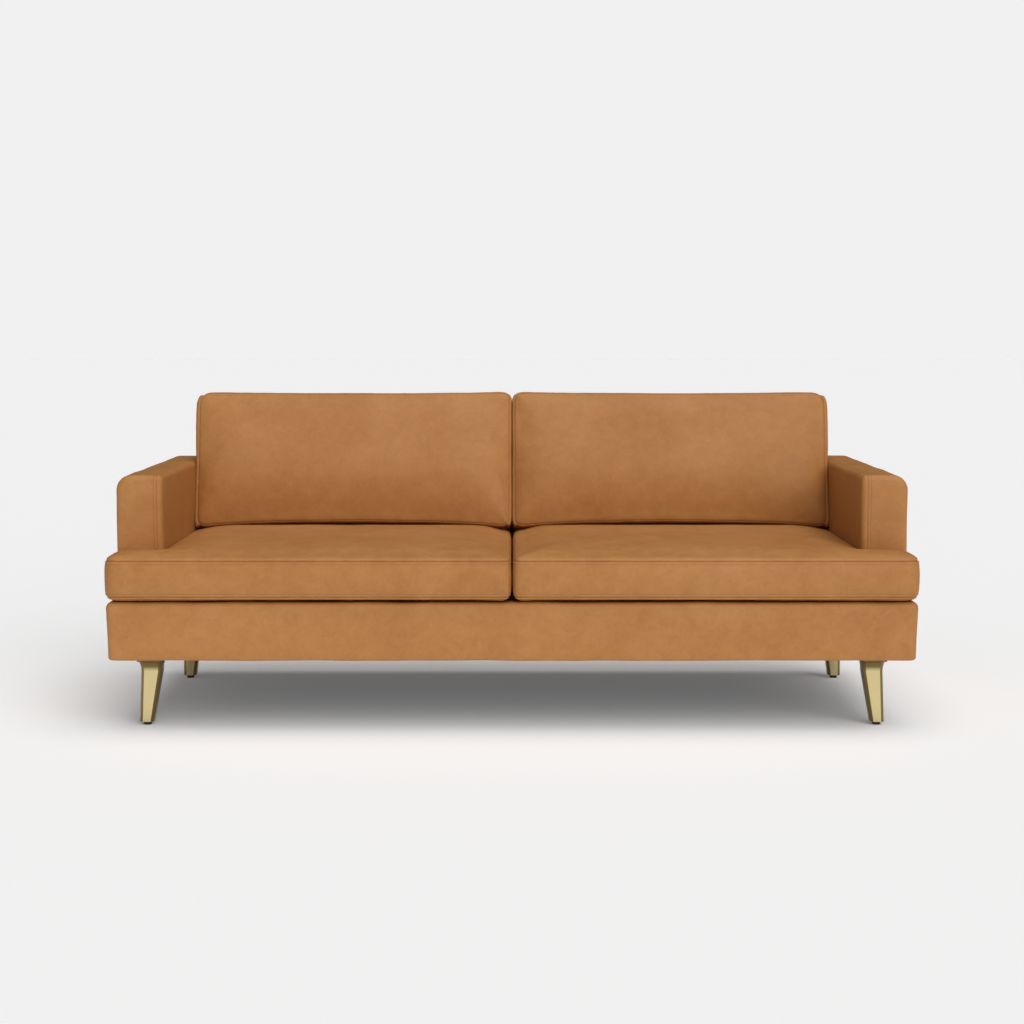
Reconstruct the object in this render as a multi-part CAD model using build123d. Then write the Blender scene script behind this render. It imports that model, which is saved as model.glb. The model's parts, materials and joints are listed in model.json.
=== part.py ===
from build123d import *
import math
import os

# A two-seat leather sofa on four cast legs, with loose seat and back cushions.
# X runs across the sofa, Y from the front (negative) to the back and Z up from the floor.
# The origin is on the floor, under the middle. Left and right are as seen from the front.

# Overall sizes, in millimetres
sofa_width = 2134.0          # across the ears of the seat cushions
sofa_depth = 940.0           # front of the seat cushions to the outside of the back
underside_height = 191.0     # floor to the underside of the base
base_height = 152.0          # the upholstered base, underside to top
seat_thickness = 142.0       # a seat cushion
arm_height = 666.0           # floor to the top of an arm
arm_thickness = 122.0
back_frame_height = 805.0    # floor to the top of the upholstered back
back_cushion_top = 876.0     # floor to a back cushion's top front edge, before it is rounded
back_cushion_thickness = 160.0
back_rake = 14.0             # degrees that the back leans from upright

# Covers, padding and clearances
leather = 2.0                # fixed leather
cushion_cover = 3.0          # cushion leather with its lining
cushion_gap = 2.0            # between a loose cushion and what is beside it
deck_gap = 3.0               # under the seat cushions
seat_rear_gap = 6.0          # behind the seat cushions
base_padding = 18.0          # on the front and the sides of the base
deck_padding = 10.0          # under the deck cloth
arm_padding = 20.0
back_padding = 12.0
dust_cloth = 1.0

# Base
base_side_inset = 6.0        # the base's side behind the edge of the cushion's ear
base_front_inset = 8.0
base_edge_radius = 14.0
base_hem_radius = 8.0        # along the underside
base_corner_radius = 20.0
base_flange = 30.0           # leather turned under the base
rail_thickness = 25.0
stretcher_thickness = 25.0
block_height = 40.0
block_reach = 88.0           # past the middle of the leg, towards the sofa's middle

# Arms
arm_side_inset = 11.0        # the arm's outside behind the edge of the cushion's ear
arm_setback = 145.0          # the arm's front behind the front of the cushions
arm_outer_radius = 40.0      # along the outer top edge
arm_inner_radius = 15.0      # along the inner top edge
arm_front_radius = 12.0
arm_post_depth = 40.0
arm_rail_height = 22.0

# Back
back_top_thickness = 32.0    # the back frame at its top
back_rail_thickness = 25.0
back_top_rail_height = 70.0
back_bottom_rail_height = 90.0
back_post_width = 30.0
webbing_width = 50.0
webbing_thickness = 2.0
webbing_end = 6.0            # from the ends of the upright straps to the top of the frame and the deck
webbing_per_side = 4         # upright straps between the end post and the centre post
webbing_rows = 3             # straps across

# Seat suspension
springs_per_side = 5
wire_radius = 1.9
spring_width = 60.0
spring_pitch = 40.0          # from one bar of the spring to the next, at most
spring_bend_radius = 16.0
spring_clearance = 0.5       # under the deck padding, and around the end bars in their clips
spring_side_room = 50.0      # from the outer spring to the back post
clip_width = 16.0
clip_height = 12.0
clip_depth = 8.0

# Cushion outlines
ear_corner_radius = 30.0
seat_corner_radius = 16.0
seat_notch_radius = 6.0      # where the ear meets the body of the cushion
seat_edge_radius = 12.0
back_corner_radius = 26.0
back_edge_radius = 14.0

# Zips
seat_zip_length = 640.0
back_zip_length = 640.0
zip_recess_depth = 7.0
zip_recess_height = 30.0
zip_recess_ends = 12.0       # recess past each end of the chain
zip_tape_height = 26.0
zip_tape_thickness = 1.0
zip_chain_height = 6.0
zip_chain_thickness = 2.0
zip_clearance = 0.4
slider_length = 12.0
slider_height = 10.0
slider_thickness = 2.8       # outside the chain
slider_end_gap = 4.0         # from the slider to the end of the chain
pull_length = 22.0
pull_height = 5.0
back_zip_rise = 60.0         # from the back cushion's bottom to its zip, along the rake

# Legs and glides
leg_inset_x = 89.5           # middle of the foot from the ear's edge
leg_inset_y = 122.0          # middle of the foot from the sofa's front or back
foot_size = 36.5
shank_top_size = 54.0
shank_shift = 13.5           # how far the top of the shank leans in from the foot, along X and Y
leg_plate_size = 71.0
leg_plate_shift = 12.0
leg_plate_thickness = 20.0
leg_flare_height = 27.0
leg_chamfer = 8.0
flare_steps = 5
glide_radius = 11.0
glide_height = 8.0
glide_gap = 0.3              # under the foot
glide_edge = 1.0
glide_stem_radius = 4.0
glide_stem_length = 22.0
glide_stem_clearance = 0.3
leg_bolt_radius = 4.0
leg_bolt_length = 50.0

# Frame screws
screw_radius = 2.5
screw_head_radius = 5.0
screw_head_height = 3.0
screw_length = 65.0
screw_edge_distance = 35.0   # from a rail's top and bottom

# Places worked out from the sizes
half_width = sofa_width / 2
front_y = -sofa_depth / 2
rear_y = sofa_depth / 2
base_top = underside_height + base_height
base_x = half_width - base_side_inset
base_front = front_y + base_front_inset
rail_x = base_x - leather - base_padding
rail_inner_x = rail_x - rail_thickness
rail_front = base_front + leather + base_padding
rail_front_inner = rail_front + rail_thickness
rail_rear = rear_y - leather
rail_rear_inner = rail_rear - rail_thickness
rail_bottom = underside_height + leather
rail_top = base_top - leather - deck_padding
block_top = rail_bottom + block_height
arm_x1 = half_width - arm_side_inset
arm_x0 = arm_x1 - arm_thickness
arm_front = front_y + arm_setback
arm_frame_x0 = arm_x0 + leather + arm_padding
arm_frame_x1 = arm_x1 - leather - arm_padding
arm_frame_front = arm_front + leather + arm_padding
arm_frame_top = arm_height - leather - arm_padding
arm_rail_bottom = arm_frame_top - arm_rail_height
back_x = arm_x0 - leather / 2
back_frame_x = back_x - leather
back_frame_top = back_frame_height - leather
back_front_top_y = rail_rear - back_top_thickness
back_layers = 2 * webbing_thickness + back_padding + leather
rake = math.radians(back_rake)
leg_x = half_width - leg_inset_x
leg_y = sofa_depth / 2 - leg_inset_y
seat_bottom = base_top + deck_gap
seat_top = seat_bottom + seat_thickness


def raked_y(z, forward=0.0):
    """Y of the back frame's leaning front at height z, moved forward square to it."""
    return back_front_top_y - (back_frame_top - z) * math.tan(rake) - forward / math.cos(rake)


back_rail_length = (back_frame_top - base_top) / math.cos(rake)
seat_rear = raked_y(base_top, back_layers) - seat_rear_gap
raked = Pos(0, back_front_top_y, back_frame_top) * Rot(-back_rake, 0, 0)


def block(x0, x1, y0, y1, z0, z1):
    """A box between two corners."""
    middle = Pos((x0 + x1) / 2, (y0 + y1) / 2, (z0 + z1) / 2)
    return middle * Box(x1 - x0, y1 - y0, z1 - z0)


def other_side(shape):
    return mirror(shape, about=Plane.YZ)


def group(shapes):
    """Separate solids that share a node."""
    return Compound([solid for shape in shapes for solid in shape.solids()])


def side_prism(points, x0, x1):
    """An outline of (y, z) points, carried across from x0 to x1."""
    outline = make_face(Polyline(*[(x0, y, z) for y, z in points], close=True))
    return extrude(outline, amount=x1 - x0, dir=(1, 0, 0))


# Base frame

def frame_screws():
    """Countersunk screws through the front and rear rails into the rails that meet them."""
    shank = Cylinder(screw_radius, screw_length, align=(Align.CENTER, Align.CENTER, Align.MIN))
    head = Cone(
        screw_head_radius, screw_radius, screw_head_height, align=(Align.CENTER, Align.CENTER, Align.MIN)
    )
    screw = shank + head
    side_x = rail_x - rail_thickness / 2
    screws = []
    for x in (-side_x, 0, side_x):
        for z in (rail_bottom + screw_edge_distance, rail_top - screw_edge_distance):
            screws.append(Pos(x, rail_front, z) * Rot(-90, 0, 0) * screw)
            screws.append(Pos(x, rail_rear, z) * Rot(90, 0, 0) * screw)
    return screws


def front_rail(screws):
    rail = block(-rail_x, rail_x, rail_front, rail_front_inner, rail_bottom, rail_top)
    return rail - screws


def rear_rail(screws):
    rail = block(-rail_x, rail_x, rail_rear_inner, rail_rear, rail_bottom, rail_top)
    return rail - screws


def side_rail(screws):
    rail = block(rail_inner_x, rail_x, rail_front_inner, rail_rear_inner, rail_bottom, rail_top)
    return rail - screws


def centre_stretcher(screws):
    half = stretcher_thickness / 2
    rail = block(-half, half, rail_front_inner, rail_rear_inner, rail_bottom, rail_top)
    return rail - screws


def leg_bolt(front):
    """Hanger bolt, half in the leg and half in its corner block, on the right-hand side."""
    y = leg_y - leg_plate_shift
    place = Pos(leg_x - leg_plate_shift, -y if front else y, rail_bottom - leg_bolt_length / 2)
    return place * Cylinder(leg_bolt_radius, leg_bolt_length, align=(Align.CENTER, Align.CENTER, Align.MIN))


def corner_block(front):
    """Right-hand block that a leg is bolted up into, glued into the corner of the rails."""
    x0 = back_x
    if front:
        timber = block(x0, rail_inner_x, rail_front_inner, block_reach - leg_y, rail_bottom, block_top)
    else:
        timber = block(x0, rail_inner_x, leg_y - block_reach, rail_rear_inner, rail_bottom, block_top)
    return timber - leg_bolt(front)


# Arm frame, right-hand side

def arm_front_post():
    """Stands on the corner block and laps the inside of the side rail."""
    y0 = arm_frame_front
    post = block(arm_frame_x0, arm_frame_x1, y0, y0 + arm_post_depth, block_top, arm_rail_bottom)
    return post - side_rail([])


def arm_rear_post():
    """Stands on the rear corner block and laps the side rail and the rear rail."""
    y0 = rail_rear - arm_post_depth
    post = block(arm_frame_x0, arm_frame_x1, y0, rail_rear, block_top, arm_rail_bottom)
    return post - side_rail([]) - rear_rail([])


def arm_top_rail():
    return block(arm_frame_x0, arm_frame_x1, arm_frame_front, rail_rear, arm_rail_bottom, arm_frame_top)


# Back frame

def back_rail(bottom, height, half_length):
    """A rail across the back, its front on the rake; bottom is measured down the rake from the top."""
    return raked * block(-half_length, half_length, 0, back_rail_thickness, -bottom, height - bottom)


def back_top_rail():
    return back_rail(back_top_rail_height, back_top_rail_height, back_frame_x - back_post_width)


def back_bottom_rail():
    return back_rail(back_rail_length, back_bottom_rail_height, back_frame_x - back_post_width)


def back_end_post():
    """Tapered right-hand post, from inside the base to the top of the back."""
    outline = [
        (raked_y(back_frame_top), back_frame_top),
        (rail_rear, back_frame_top),
        (rail_rear, rail_top),
        (rail_rear_inner, rail_top),
        (rail_rear_inner, rail_bottom),
        (raked_y(rail_bottom), rail_bottom),
    ]
    return side_prism(outline, back_frame_x - back_post_width, back_frame_x)


def back_centre_post():
    """Tapered post on the centre stretcher, notched behind the two rails across the back."""
    outline = [
        (raked_y(back_frame_top), back_frame_top),
        (rail_rear, back_frame_top),
        (rail_rear, rail_top),
        (raked_y(rail_top), rail_top),
    ]
    post = side_prism(outline, -back_post_width / 2, back_post_width / 2)
    return post - back_top_rail() - back_bottom_rail()


# Suspension

def spring_places():
    """X of each spring on the right-hand side."""
    first = stretcher_thickness / 2 + spring_width
    last = back_frame_x - back_post_width - spring_side_room
    step = (last - first) / (springs_per_side - 1)
    return [first + i * step for i in range(springs_per_side)]


def spring_ends():
    """Y of a spring's first and last bars, held in clips on the rails."""
    return rail_front_inner + clip_depth / 2, rail_rear_inner - clip_depth / 2


def spring_height():
    return rail_top - spring_clearance - wire_radius


def seat_spring():
    """One sinuous spring about X = 0: bars across, joined by bends in turn at each side."""
    start, end = spring_ends()
    bars = math.ceil((end - start) / spring_pitch)
    pitch = (end - start) / bars
    z = spring_height()
    half = spring_width / 2
    points = []
    for i in range(bars + 1):
        side = half if i % 2 else -half
        points.append((side, start + i * pitch, z))
        points.append((-side, start + i * pitch, z))
    path = FilletPolyline(*points, radius=spring_bend_radius)
    return sweep(Plane(path @ 0, z_dir=path % 0) * Circle(wire_radius), path=path)


def seat_springs(places):
    spring = seat_spring()
    return group([Pos(x, 0, 0) * spring for x in places])


def spring_clips():
    """Clips on the inside of the front and rear rails, each around a spring's end bar."""
    front, rear = spring_ends()
    clips = []
    for x in spring_places():
        for y in (front, rear):
            body = Pos(x, y, rail_top - clip_height / 2) * Box(clip_width, clip_depth, clip_height)
            slot = Pos(x, y, spring_height()) * Box(clip_width, *[2 * (wire_radius + spring_clearance)] * 2)
            clip = body - slot
            clips += [clip, other_side(clip)]
    return group(clips)


def back_webbing():
    """Elastic straps on the front of the back frame, the rows across lying on the upright ones."""
    straps = []
    span = back_frame_x - back_post_width / 2
    for i in range(webbing_per_side):
        x = span * (i + 0.5) / webbing_per_side
        strap = raked * block(
            x - webbing_width / 2, x + webbing_width / 2, -webbing_thickness, 0,
            webbing_end - back_rail_length, -webbing_end,
        )
        straps += [strap, other_side(strap)]
    step = back_rail_length / (webbing_rows + 1)
    for i in range(webbing_rows):
        z = -step * (i + 1)
        straps.append(
            raked
            * block(
                -back_frame_x, back_frame_x, -2 * webbing_thickness, -webbing_thickness,
                z - webbing_width / 2, z + webbing_width / 2,
            )
        )
    return group(straps)


def deck_cloth():
    """Cloth over the deck, from the leather edge at the front to the foot of the back."""
    return block(-arm_x0, arm_x0, arm_front, raked_y(base_top, back_layers), base_top - leather, base_top)


def dust_cover():
    """Cloth under the base, inside the turned-under leather, with a hole for each leg."""
    x = base_x - base_flange
    cloth = block(-x, x, base_front + base_flange, rear_y - base_flange, rail_bottom - dust_cloth, rail_bottom)
    hole = leg_plate_size + 2 * cushion_gap
    for x in (-1, 1):
        for y in (-1, 1):
            middle = Pos(x * (leg_x - leg_plate_shift), y * (leg_y - leg_plate_shift), rail_bottom)
            cloth -= middle * Box(hole, hole, 4 * dust_cloth)
    return cloth


# Fixed upholstery

def base_solid(inset):
    """The base's outside, set in by a cover's thickness."""
    body = block(
        inset - base_x, base_x - inset, base_front + inset, rear_y - inset,
        underside_height + inset, base_top - inset,
    )
    body = fillet(body.edges().filter_by(Axis.Z).sort_by(Axis.Y)[:2], base_corner_radius - inset)
    for rim, radius in ((-1, base_edge_radius), (0, base_hem_radius)):
        kept = body.faces().sort_by(Axis.Z)[rim].edges().sort_by(Axis.Y)[:-1]
        body = fillet(kept, radius - inset)
    return body


def base_cover():
    """Leather bands of the base: front, two sides and rear, open over the frame and underneath."""
    skin = base_solid(0) - base_solid(leather)
    x = base_x - base_flange
    skin -= block(-x, x, base_front + base_flange, rear_y - base_flange, underside_height, rail_bottom)
    x = base_x - base_edge_radius
    skin -= block(-x, x, arm_front, rear_y - leather, base_top - leather, base_top)
    whole = 2 * sofa_depth
    middle = skin & block(-rail_x, rail_x, -whole, whole, 0, arm_height)
    side = skin & block(rail_x, half_width, -whole, whole, 0, arm_height)
    return group([middle, side, other_side(side)])


def base_padding_slabs():
    """Foam on the front and sides of the base, over the front rail and on the springs."""
    outside = base_solid(leather)
    x1 = base_x - leather
    front = block(-x1, x1, base_front + leather, rail_front, rail_bottom, base_top - leather) & outside
    side = block(rail_x, x1, rail_front, rail_rear, rail_bottom, base_top - leather) & outside
    edge = block(-rail_x, rail_x, rail_front, arm_front, rail_top, base_top - leather)
    deck = block(
        -back_frame_x, back_frame_x, arm_front, raked_y(base_top, back_layers), rail_top, base_top - leather
    )
    return group([front, side, other_side(side), edge, deck])


def arm_solid(inset):
    """The right arm's outside above the base, set in by a cover's thickness."""
    body = block(arm_x0 + inset, arm_x1 - inset, arm_front + inset, rear_y - inset, base_top, arm_height - inset)
    along = body.edges().filter_by(Axis.Y).group_by(Axis.Z)[-1].sort_by(Axis.X)
    body = fillet(along[-1], arm_outer_radius - inset)
    along = body.edges().filter_by(Axis.Y).sort_by(Axis.X)
    inner = [edge for edge in along[:2] if edge.center().Z > base_top + leather]
    body = fillet(inner, arm_inner_radius - inset)
    front_edges = body.faces().sort_by(Axis.Y)[0].edges().sort_by(Axis.Z)[1:]
    return fillet(front_edges, arm_front_radius - inset)


def arm_cover():
    return arm_solid(0) - arm_solid(leather)


def arm_padding_slabs():
    """Foam on the front, top, inside and outside of the right arm's frame."""
    x0, x1 = arm_x0 + leather, arm_x1 - leather
    y0 = arm_front + leather
    top = arm_height - leather
    outside = arm_solid(leather)
    slabs = [
        block(x0, x1, y0, arm_frame_front, base_top, top),
        block(x0, x1, arm_frame_front, rail_rear, arm_frame_top, top),
        block(x0, arm_frame_x0, arm_frame_front, rail_rear, base_top, arm_frame_top),
        block(arm_frame_x1, x1, arm_frame_front, rail_rear, base_top, arm_frame_top),
    ]
    return group([slab & outside for slab in slabs])


def back_solid(inset, half):
    """The upholstered back above the base, set in by a cover's thickness."""
    top = back_frame_height - inset
    forward = back_layers - inset
    outline = [
        (raked_y(top, forward), top),
        (rear_y - inset, top),
        (rear_y - inset, base_top),
        (raked_y(base_top, forward), base_top),
    ]
    return side_prism(outline, -half, half)


def back_cover():
    return back_solid(0, back_x) - back_solid(leather, back_frame_x)


def back_padding_slab():
    slab = raked * block(
        -back_frame_x, back_frame_x, leather - back_layers, -2 * webbing_thickness,
        -2 * back_rail_length, back_rail_length,
    )
    return slab & back_solid(leather, back_frame_x)


# Zips: built along X, with the recess floor at y = 0 and outwards along +y

def zip_recess(length, margin):
    half = length / 2 + zip_recess_ends + margin
    height = zip_recess_height / 2 + margin
    return block(-half, half, -margin, 2 * zip_recess_depth, -height, height)


def zip_strip(length):
    """Zip tape with its closed chain."""
    half = length / 2
    tape = block(
        -half - zip_recess_ends, half + zip_recess_ends, 0, zip_tape_thickness,
        -zip_tape_height / 2, zip_tape_height / 2,
    )
    chain = block(
        -half, half, zip_tape_thickness, zip_tape_thickness + zip_chain_thickness,
        -zip_chain_height / 2, zip_chain_height / 2,
    )
    return tape + chain


def zip_slider(length):
    """Slider at the chain's outer end, a saddle over the chain with its pull lying along it."""
    y0 = zip_tape_thickness + zip_clearance
    chain_top = zip_tape_thickness + zip_chain_thickness + zip_clearance
    y1 = chain_top + slider_thickness
    x1 = length / 2 - slider_end_gap
    channel = zip_chain_height / 2 + zip_clearance
    body = block(x1 - slider_length, x1, y0, y1, -slider_height / 2, slider_height / 2)
    body -= block(x1 - slider_length, x1, y0, chain_top, -channel, channel)
    pull = block(
        x1 - slider_length - pull_length, x1 - slider_length, chain_top, y1, -pull_height / 2, pull_height / 2
    )
    return body + pull


# Seat cushions, right-hand side

def seat_solid(inset):
    """A seat cushion with an ear in front of the arm."""
    x0 = cushion_gap / 2 + inset
    ear_x = half_width - inset
    body_x = arm_x0 - cushion_gap - inset
    y0 = front_y + inset
    ear_y = arm_front - cushion_gap - inset
    y1 = seat_rear - inset
    points = [(x0, y0), (ear_x, y0), (ear_x, ear_y), (body_x, ear_y), (body_x, y1), (x0, y1)]
    outline = make_face(Polyline(*points, close=True))
    body = Pos(0, 0, seat_bottom + inset) * extrude(outline, amount=seat_thickness - 2 * inset)
    radii = [seat_corner_radius, ear_corner_radius, seat_corner_radius,
             seat_notch_radius + 2 * inset, seat_corner_radius, seat_corner_radius]
    for (x, y), radius in zip(points, radii):
        corner = body.edges().filter_by(Axis.Z).sort_by_distance(Vector(x, y, seat_bottom + seat_thickness / 2))[0]
        body = fillet(corner, radius - inset)
    rims = body.faces().sort_by(Axis.Z)
    return fillet(rims[0].edges() + rims[-1].edges(), seat_edge_radius - inset)


def seat_zip_place():
    x = (cushion_gap / 2 + arm_x0 - cushion_gap) / 2
    return Pos(x, seat_rear - zip_recess_depth, seat_bottom + seat_thickness / 2)


def seat_core():
    return seat_solid(cushion_cover) - seat_zip_place() * zip_recess(seat_zip_length, cushion_cover)


def seat_cover():
    return seat_solid(0) - seat_zip_place() * zip_recess(seat_zip_length, 0) - seat_core()


# Back cushions, right-hand side

def back_cushion_solid(inset):
    """A boxed back cushion that leans on the back and stands just clear of the seat."""
    bottom = seat_top + cushion_gap + inset
    behind = back_layers + cushion_gap + inset
    ahead = back_layers + cushion_gap + back_cushion_thickness - inset
    top = back_cushion_top - inset * (math.cos(rake) + math.sin(rake))
    depth = back_cushion_thickness - 2 * inset
    front_top_y = raked_y(top, ahead)
    points = [
        (raked_y(bottom, ahead), bottom),
        (front_top_y, top),
        (front_top_y + depth * math.cos(rake), top - depth * math.sin(rake)),
        (raked_y(bottom, behind), bottom),
    ]
    body = side_prism(points, cushion_gap / 2 + inset, arm_x0 - cushion_gap - inset)
    body = fillet(body.edges().filter_by(Axis.X), back_corner_radius - inset)
    ends = body.faces().sort_by(Axis.X)
    return fillet(ends[0].edges() + ends[-1].edges(), back_edge_radius - inset)


def back_zip_place():
    x = (cushion_gap / 2 + arm_x0 - cushion_gap) / 2
    z = seat_top + cushion_gap + back_zip_rise * math.cos(rake)
    forward = back_layers + cushion_gap + zip_recess_depth
    return Pos(x, raked_y(z, forward), z) * Rot(-back_rake, 0, 0)


def back_core():
    return back_cushion_solid(cushion_cover) - back_zip_place() * zip_recess(back_zip_length, cushion_cover)


def back_cushion_cover():
    recess = back_zip_place() * zip_recess(back_zip_length, 0)
    return back_cushion_solid(0) - recess - back_core()


# Legs and glides, front right-hand side

def leg_section(size, shift, z):
    """Square with cut corners, leaning in by shift along X and Y."""
    half = size / 2
    cut = half - leg_chamfer
    corners = [(cut, -half), (half, -cut), (half, cut), (cut, half),
               (-cut, half), (-half, cut), (-half, -cut), (-cut, -half)]
    points = [(leg_x - shift + x, shift - leg_y + y, z) for x, y in corners]
    return make_face(Polyline(*points, close=True))


def leg():
    """Cast leg: a tapered shank that flares into its top plate, with holes for the glide and bolt."""
    foot_z = glide_height + glide_gap
    plate_z = rail_bottom - leg_plate_thickness
    flare_z = plate_z - leg_flare_height
    sections = [leg_section(foot_size, 0, foot_z)]
    for i in range(flare_steps + 1):
        angle = math.pi / 2 * i / flare_steps
        out = 1 - math.cos(angle)
        size = shank_top_size + (leg_plate_size - shank_top_size) * out
        shift = shank_shift + (leg_plate_shift - shank_shift) * out
        sections.append(leg_section(size, shift, flare_z + leg_flare_height * math.sin(angle)))
    shank = loft(sections, ruled=True)
    plate = extrude(leg_section(leg_plate_size, leg_plate_shift, plate_z), amount=leg_plate_thickness, dir=(0, 0, 1))
    hole_depth = glide_stem_length + glide_stem_radius
    hole = Pos(leg_x, -leg_y, foot_z) * Cylinder(
        glide_stem_radius + glide_stem_clearance, hole_depth, align=(Align.CENTER, Align.CENTER, Align.MIN)
    )
    return shank + plate - hole - leg_bolt(True)


def glide():
    """Levelling glide: a disc on the floor and the stem that screws into the foot."""
    disc = Pos(leg_x, -leg_y, glide_height / 2) * Cylinder(glide_radius, glide_height)
    disc = chamfer(disc.edges().filter_by(GeomType.CIRCLE), glide_edge)
    stem = Pos(leg_x, -leg_y, glide_height) * Cylinder(
        glide_stem_radius, glide_stem_length, align=(Align.CENTER, Align.CENTER, Align.MIN)
    )
    return disc + stem


def build_nodes():
    """Every node by name; pieces made for the right-hand side are mirrored to the left."""
    screws = frame_screws()
    nodes = {
        "base_front_rail": front_rail(screws),
        "base_rear_rail": rear_rail(screws),
        "base_centre_stretcher": centre_stretcher(screws),
        "frame_screws": group(screws),
        "back_top_rail": back_top_rail(),
        "back_bottom_rail": back_bottom_rail(),
        "back_centre_post": back_centre_post(),
        "spring_clips": spring_clips(),
        "back_webbing": back_webbing(),
        "deck_cloth": deck_cloth(),
        "dust_cover": dust_cover(),
        "base_padding": base_padding_slabs(),
        "base_cover": base_cover(),
        "back_padding": back_padding_slab(),
        "back_cover": back_cover(),
    }
    pairs = {
        "base_side_rail": side_rail(screws),
        "corner_block_front": corner_block(True),
        "corner_block_rear": corner_block(False),
        "arm_front_post": arm_front_post(),
        "arm_rear_post": arm_rear_post(),
        "arm_top_rail": arm_top_rail(),
        "arm_padding": arm_padding_slabs(),
        "arm_cover": arm_cover(),
        "back_post": back_end_post(),
        "seat_springs": seat_springs(spring_places()),
        "seat_cushion_core": seat_core(),
        "seat_cushion_cover": seat_cover(),
        "seat_cushion_zip": seat_zip_place() * zip_strip(seat_zip_length),
        "seat_zip_slider": seat_zip_place() * zip_slider(seat_zip_length),
        "back_cushion_core": back_core(),
        "back_cushion_cover": back_cushion_cover(),
        "back_cushion_zip": back_zip_place() * zip_strip(back_zip_length),
        "back_zip_slider": back_zip_place() * zip_slider(back_zip_length),
    }
    for name, shape in pairs.items():
        nodes[name + "_right"] = shape
        nodes[name + "_left"] = other_side(shape)
    for name, shape in (("leg", leg()), ("glide", glide())):
        rear = mirror(shape, about=Plane.XZ)
        nodes[name + "_front_right"] = shape
        nodes[name + "_front_left"] = other_side(shape)
        nodes[name + "_rear_right"] = rear
        nodes[name + "_rear_left"] = other_side(rear)
    bolts = [leg_bolt(True), leg_bolt(False)]
    nodes["leg_bolts"] = group(bolts + [other_side(bolt) for bolt in bolts])
    return nodes


os.makedirs("parts", exist_ok=True)
for name, shape in build_nodes().items():
    export_step(shape, f"parts/{name}.step")
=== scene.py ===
import json
import math
import bmesh
import bpy
from mathutils import Matrix, Vector, kdtree, noise


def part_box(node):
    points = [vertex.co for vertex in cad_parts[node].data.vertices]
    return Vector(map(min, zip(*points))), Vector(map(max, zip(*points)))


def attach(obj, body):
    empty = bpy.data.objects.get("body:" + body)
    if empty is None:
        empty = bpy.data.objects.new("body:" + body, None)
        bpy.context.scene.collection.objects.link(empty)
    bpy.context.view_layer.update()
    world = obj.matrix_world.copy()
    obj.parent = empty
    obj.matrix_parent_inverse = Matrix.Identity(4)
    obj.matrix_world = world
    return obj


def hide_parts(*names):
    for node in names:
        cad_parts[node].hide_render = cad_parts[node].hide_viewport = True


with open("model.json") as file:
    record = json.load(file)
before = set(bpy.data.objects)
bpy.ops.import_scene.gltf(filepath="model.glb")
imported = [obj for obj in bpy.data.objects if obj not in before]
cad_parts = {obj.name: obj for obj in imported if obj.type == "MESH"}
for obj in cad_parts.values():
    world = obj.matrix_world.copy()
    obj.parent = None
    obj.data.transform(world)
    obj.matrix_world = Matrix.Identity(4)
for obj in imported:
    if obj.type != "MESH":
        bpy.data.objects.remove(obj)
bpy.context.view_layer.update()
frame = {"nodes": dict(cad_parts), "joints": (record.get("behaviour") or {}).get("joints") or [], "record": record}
scene = bpy.context.scene


# Camera: well back and square to the front, at eye height, tipped down a little.

view_distance = 5.456
eye_height = 1.058
tip_down = math.radians(5.44)

bpy.ops.object.camera_add(location=(0, -view_distance, eye_height), rotation=(math.pi / 2 - tip_down, 0, 0))
scene.camera = bpy.context.object
scene.camera.data.sensor_width = 36
scene.camera.data.lens = 67.9


# Studio: a pale floor that runs out to a pale wall, under a broad overhead softbox. The key comes
# from the front right, a weak fill from the front left, and the wall behind the camera glows.

def srgb(code):
    """A hex colour turned to linear light."""
    channels = [int(code[i:i + 2], 16) / 255 for i in (1, 3, 5)]
    return [c / 12.92 if c <= 0.04045 else ((c + 0.055) / 1.055) ** 2.4 for c in channels] + [1.0]


def add_node(tree, kind, inputs=None, **settings):
    """Adds a node; inputs are values, or sockets that are linked to it."""
    node = tree.nodes.new(kind)
    for name, value in settings.items():
        setattr(node, name, value)
    for name, value in (inputs or {}).items():
        if isinstance(value, bpy.types.NodeSocket):
            tree.links.new(value, node.inputs[name])
        else:
            node.inputs[name].default_value = value
    return node


def new_material(name):
    """An empty material with its surface shader, ready for its nodes."""
    material = bpy.data.materials.new(name)
    material.use_nodes = True
    return material, material.node_tree, material.node_tree.nodes["Principled BSDF"]


def lit_floor():
    # Matt white acrylic over a light box: even, lit a little from below, with a faint texture.
    material, tree, shader = new_material("lit white acrylic")
    place = add_node(tree, "ShaderNodeTexCoord").outputs["Object"]
    roller = add_node(tree, "ShaderNodeTexNoise", {"Vector": place, "Scale": 300.0, "Detail": 2.0})
    shader.inputs["Base Color"].default_value = srgb("#FEFEFE")
    shader.inputs["Roughness"].default_value = 1.0
    shader.inputs["Specular IOR Level"].default_value = 0.0
    shader.inputs["Emission Color"].default_value = (1, 1, 1, 1)
    shader.inputs["Emission Strength"].default_value = 0.10
    bump = add_node(tree, "ShaderNodeBump", {
        "Height": roller.outputs["Fac"], "Strength": 0.05, "Distance": 0.0005})
    tree.links.new(bump.outputs["Normal"], shader.inputs["Normal"])
    return material


def add_sun(name, towards, strength, spread):
    bpy.ops.object.light_add(type="SUN", location=(0, 0, 4))
    sun = bpy.context.object
    sun.name = name
    sun.rotation_euler = Vector(towards).to_track_quat("-Z", "Y").to_euler()
    sun.data.energy = strength
    sun.data.angle = math.radians(spread)


bpy.ops.mesh.primitive_plane_add(size=120, location=(0, 0, 0))
floor = bpy.context.object
floor.name = "studio_floor"
floor.data.materials.append(lit_floor())

add_sun("key_light", (-0.4, 0.85, -0.58), 1.2, 50)
add_sun("overhead_softbox", (-0.12, 0.1, -1.0), 1.3, 55)
add_sun("front_fill", (0.3, 1.0, -0.3), 0.15, 90)

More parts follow.
